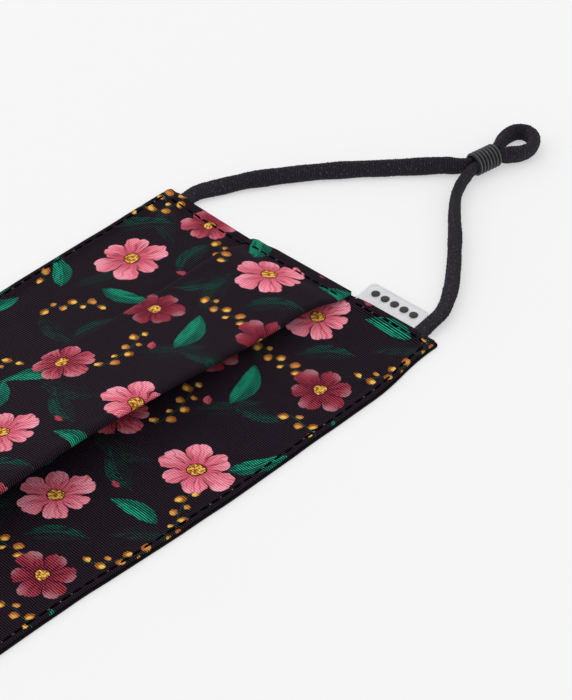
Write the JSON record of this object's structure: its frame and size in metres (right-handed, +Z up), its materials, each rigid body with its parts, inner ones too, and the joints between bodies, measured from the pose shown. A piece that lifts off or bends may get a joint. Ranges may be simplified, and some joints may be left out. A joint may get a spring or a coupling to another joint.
{
  "type": "cloth face mask",
  "caption": "Flat-folded cloth face mask with one deep pleat, flower print on dark cloth, elastic ear loops doubled through ribbed rubber sleeves, and a small tag in one side seam.",
  "frame": {"origin": "on the table under the lower panel, midway between the side seams and midway between the lower and upper edges", "axes": "+X along the mask towards the seam with the tag, +Y from the lower edge to the upper edge, +Z up from the table, out of the printed face"},
  "size_m": [0.3512, 0.095, 0.0116],
  "materials": {
    "printed_cloth": "twill weave with a printed flower pattern",
    "lining_cloth": "plain weave, matt",
    "sewing_thread": "twisted thread",
    "elastic_cord": "knitted, matt",
    "stopper_rubber": "satin",
    "label_rubber": "translucent satin"
  },
  "bodies": {
    "root": {"pleated_panel": "printed_cloth", "ear_loop_right": "elastic_cord", "ear_loop_left": "elastic_cord", "cord_stopper_right": "stopper_rubber", "cord_stopper_left": "stopper_rubber", "side_label": "label_rubber"}
  },
  "joints": []
}
